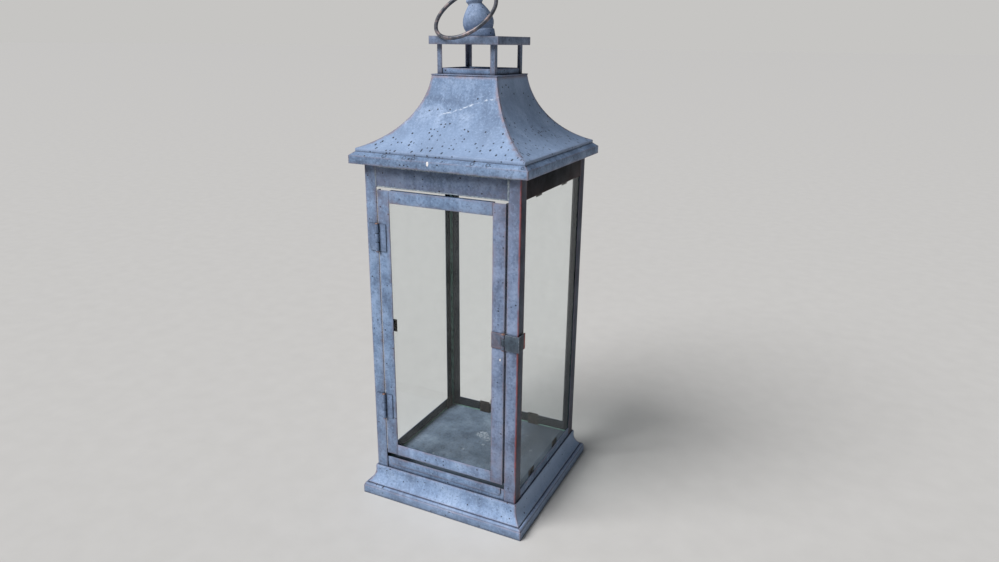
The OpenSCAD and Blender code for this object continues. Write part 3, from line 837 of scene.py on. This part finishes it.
def sag_curve(start, end, sag, steps):
    """Points of the arc from start to end that hangs in by sag at its middle."""
    start, end = Vector(start), Vector(end)
    chord = end - start
    radius = (chord.length ** 2 / 4 + sag ** 2) / (2 * sag)
    half_angle = math.asin(chord.length / 2 / radius)
    along = chord.normalized()
    inward = Vector((-along.y, along.x))
    centre = (start + end) / 2 - (radius - sag) * inward
    turns = [half_angle * (2 * n / steps - 1) for n in range(steps + 1)]
    return [centre + radius * (math.cos(t) * inward + math.sin(t) * along) for t in turns]


def folded_length(outline, thickness, reach, dent):
    """A folded length on the front side, before its mitres are cut. Sizes are in mm."""
    bm = bmesh.new()
    corners = [bm.verts.new((-reach * MM, -out * MM, up * MM)) for out, up in outline]
    folds = [bm.edges.new(pair) for pair in zip(corners, corners[1:])]
    swept = bmesh.ops.extrude_edge_only(bm, edges=folds)["geom"]
    far_end = [v for v in swept if isinstance(v, bmesh.types.BMVert)]
    bmesh.ops.translate(bm, verts=far_end, vec=(2 * reach * MM, 0, 0))
    outwards = Vector((0, -1, 0.3))
    if sum((f.normal for f in bm.faces), Vector()).dot(outwards) < 0:
        bmesh.ops.reverse_faces(bm, faces=bm.faces)
    steps = int(reach / CUT_EVERY)
    for n in range(-steps, steps + 1):
        bmesh.ops.bisect_plane(bm, geom=everything(bm), plane_co=(n * CUT_EVERY * MM, 0, 0),
                               plane_no=(1, 0, 0))
    bm.normal_update()
    for v in bm.verts:
        from_mitre = (-v.co.y - abs(v.co.x)) / (DENT_FADE * MM)
        unevenness = 0.5 + 0.5 * noise.noise(v.co / (DENT_MM * MM))
        v.co -= v.normal * dent * MM * max(0.0, min(1.0, from_mitre)) * unevenness
    bmesh.ops.solidify(bm, geom=bm.faces[:], thickness=thickness * MM)
    return bm


def mitre(bm, seam=0.2):
    """Cuts both ends at 45 degrees, half the open seam short of the corner, and closes them."""
    trim = seam / 2 * math.sqrt(2) * MM
    for hand in (1, -1):
        cut = bmesh.ops.bisect_plane(bm, geom=everything(bm), plane_co=(0, -trim, 0),
                                     plane_no=(hand, 1, 0), clear_outer=True)["geom_cut"]
        rim = [e for e in cut if isinstance(e, bmesh.types.BMEdge)]
        bmesh.ops.edgeloop_fill(bm, edges=rim)


def four_sides(kind, outline, thickness, reach, dent, material, fold_mm):
    """The same folded length on all four sides, with its size beside the CAD's."""
    for quarter, side in enumerate(("front", "right", "back", "left")):
        bm = folded_length(outline, thickness, reach, dent)
        mitre(bm)
        round_edges(bm, fold_mm, sharper_than=24)
        bmesh.ops.rotate(bm, verts=bm.verts, cent=(0, 0, 0),
                         matrix=Matrix.Rotation(quarter * math.pi / 2, 3, "Z"))
        node = f"{kind}_{side}"
        piece = finish_piece(bm, f"{node}_panel", (material,), "root", slot_of[node], node)
        low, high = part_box(node)
        print("  CAD", [round(c / MM, 2) for c in (*low, *high)])
        mine = [v.co for v in piece.data.vertices]
        print("  new", [round(f(p[a] for p in mine) / MM, 2) for f in (min, max) for a in range(3)])


# %% [markdown]
# The base has, from the foot up: a turned-in flange to stand on, an upright plinth, a bead, a small
# groove, a hollow cove, and a ledge that turns in to the posts.

# %% Base
low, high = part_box("base_front")
plinth, base_up = -low.y / MM, high.z / MM
PLINTH_UP, BEAD = 8.2, 1.7
bead_out, bead_up = plinth - 0.6 - BEAD, PLINTH_UP + 0.9
base_line = [(plinth - 9, 0), (plinth, 0)]  # flange
base_line += [(plinth, PLINTH_UP - 0.2), (plinth - 0.7, PLINTH_UP + 0.3)]  # plinth and its top edge
base_line += [(bead_out + BEAD * math.cos(a), bead_up + BEAD * math.sin(a))
              for a in [math.radians(20 * n - 10) for n in range(7)]]
base_line += [(bead_out - 1.3, bead_up + 0.9)]  # groove
base_line += sag_curve((plinth - 3.5, PLINTH_UP + 3.4), (body_half + 1.8, base_up - 2), 2, 10)
base_line += [(body_half + 1.3, base_up), (body_half + 0.05, base_up)]  # ledge
four_sides("base", base_line, 0.9, plinth + 1, 0.12, clean_zinc, 0.25)

# %% [markdown]
# The eave is a tray with an upright fascia and a slanting ledge above it. The roof's foot stands on
# the tray, and its four slopes hang in like a tent, as on a pagoda.

# %% Eave and roof
TRAY_IN, ROOF_SAG = 66, 10.9
fascia, fascia_foot, tray_up = -eave_low.y / MM, eave_low.z / MM, eave_high.z / MM
roof_foot = -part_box("roof_front")[0].y / MM
plate_low, plate_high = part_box("roof_top_plate")
roof_top, roof_up = plate_high.x / MM - 0.4, plate_low.z / MM
eave_line = [(fascia, fascia_foot), (fascia, fascia_foot + FASCIA_TALL),
             (roof_foot + 0.2, tray_up), (TRAY_IN, tray_up)]
four_sides("eave", eave_line, 1, fascia + 1, 0.12, eave_zinc, 0.4)
roof_line = [(roof_foot, tray_up)]
roof_line += sag_curve((roof_foot, tray_up + 2.7), (roof_top, roof_up), ROOF_SAG, 24)
four_sides("roof", roof_line, 1, roof_foot + 1, 0.5, roof_zinc, 0.3)

# %% [markdown]
# ## Pins and ring
# Both are round work. A pin is a profile spun about its own axis, with domed, hammered heads. The
# ring is a circle the size of its wire, spun about the ring's middle. The middle is the middle of
# the CAD ring's box, and the ring's plane holds both its hinge line and the line from there to the
# middle.

# %% Pins
HEAD_DOME, HEAD_TALL, SHANK = 0.5, 0.9, 0.8


def headed_pin(node):
    """An upright pin with a domed head at each end, spun from its outline."""
    low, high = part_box(node)
    head, half_height = (high.x - low.x) / 2, (high.z - low.z) / 2
    outline = [(0, half_height)]
    outline += [(head * math.sin(a), half_height - HEAD_DOME * MM * (1 - math.cos(a)))
                for a in (math.radians(d) for d in (25, 45, 65, 90))]
    neck = half_height - HEAD_TALL * MM
    outline += [(head, neck), (SHANK * MM, neck)]
    outline += [(r, -h) for r, h in reversed(outline)]
    bm = bmesh.new()
    corners = [bm.verts.new((r, 0, h)) for r, h in outline]
    line = [bm.edges.new(pair) for pair in zip(corners, corners[1:])]
    bmesh.ops.spin(bm, geom=corners + line, cent=(0, 0, 0), axis=(0, 0, 1), angle=2 * math.pi,
                   steps=20, use_merge=True)
    bmesh.ops.translate(bm, verts=bm.verts, vec=(low + high) / 2)
    return finish_piece(bm, node + "_turned", (pin_copper,), body_of[node], slot_of[node], node)


for node in ("hinge_lower_pin", "hinge_upper_pin", "latch_pin"):
    headed_pin(node)

# %% Ring
WIRE_RADIUS = 1.65
swing = next(j for j in record["behaviour"]["joints"] if j["name"] == "ring_swing")
hole, hinge_line = Vector(swing["pos_m"]), Vector(swing["axis"]).normalized()
low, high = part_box("carry_ring")
ring_middle = (low + high) / 2
to_hole = (hole - ring_middle).normalized()
ring_axis = hinge_line.cross(to_hole).normalized()
bm = bmesh.new()
bmesh.ops.create_circle(bm, segments=20, radius=WIRE_RADIUS * MM)
at_hole = Matrix((to_hole, ring_axis, hinge_line)).transposed().to_4x4()
at_hole.translation = hole
bmesh.ops.transform(bm, matrix=at_hole, verts=bm.verts)
bmesh.ops.spin(bm, geom=bm.verts[:] + bm.edges[:], cent=ring_middle, axis=ring_axis,
               angle=2 * math.pi, steps=96, use_merge=True)
finish_piece(bm, "carry_ring_wire", (ring_wire,), "ring", "ring_wire", "carry_ring")
print("ring radius in mm:", round((hole - ring_middle).length / MM, 2))

# %% [markdown]
# ## Solder
# The headers are soldered to the posts and under the eave, and the tinsmith left the runs as they
# froze: uneven, lumpy and paler than the sheet. A run is a small octagon pushed along in short
# steps, a little wider or narrower at each, and pressed flat against the sheet.

# %% Solder runs
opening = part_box("header_front")[1].x / MM
header_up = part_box("header_front")[0].z / MM
face_out = body_half - 0.05
STEP_MM, END_SIZE = 1.2, 0.25


def solder_run(name, start, end, width, height, seed):
    """A lumpy run of solder on the front face, from start to end. Sizes are in mm."""
    dice = random.Random(seed)
    start, end = (Vector((across, -face_out, up)) for across, up in (start, end))
    way = end - start
    steps = max(4, int(way.length / STEP_MM))
    size = 0.2
    bm = bmesh.new()
    bmesh.ops.create_circle(bm, cap_ends=True, segments=8, radius=size * width * MM)
    front = bm.faces[:]
    for n in range(steps):
        moved = bmesh.ops.extrude_face_region(bm, geom=front)["geom"]
        front = [f for f in moved if isinstance(f, bmesh.types.BMFace)]
        rim = [v for v in moved if isinstance(v, bmesh.types.BMVert)]
        bmesh.ops.translate(bm, verts=rim, vec=(0, 0, way.length / steps * MM))
        target = END_SIZE if n == steps - 1 else dice.uniform(0.3, 0.62)
        middle = sum((v.co for v in rim), Vector()) / len(rim)
        bmesh.ops.scale(bm, verts=rim, vec=(target / size, target / size, 1),
                        space=Matrix.Translation(-middle))
        size = target
    bmesh.ops.scale(bm, verts=bm.verts, vec=(1, height / width, 1))
    along, outwards = way.normalized(), Vector((0, -1, 0))
    turn = Matrix((outwards.cross(along), outwards, along)).transposed().to_4x4()
    turn.translation = start * MM
    bmesh.ops.transform(bm, matrix=turn, verts=bm.verts)
    return finish_piece(bm, name, (solder,), "root", "patinated_zinc")


low_up, foot_up = header_up + 0.5, header_up + 0.6
high_up, eave_up = fascia_foot + 5, fascia_foot - 1.5
# Name, start and end as (distance across, height), then width, height and seed
RUNS = (
    ("solder_header_right", (opening, low_up), (opening, high_up), 2.2, 1.0, 3),
    ("solder_header_left", (-opening, low_up), (-opening, high_up), 1.2, 0.7, 4),
    ("solder_header_foot", (-opening + 1, foot_up), (opening - 1, foot_up), 1.0, 0.6, 5),
    ("solder_under_eave", (-opening + 2, eave_up), (opening + 9, eave_up), 2.6, 0.9, 6),
)
for run in RUNS:
    solder_run(*run)
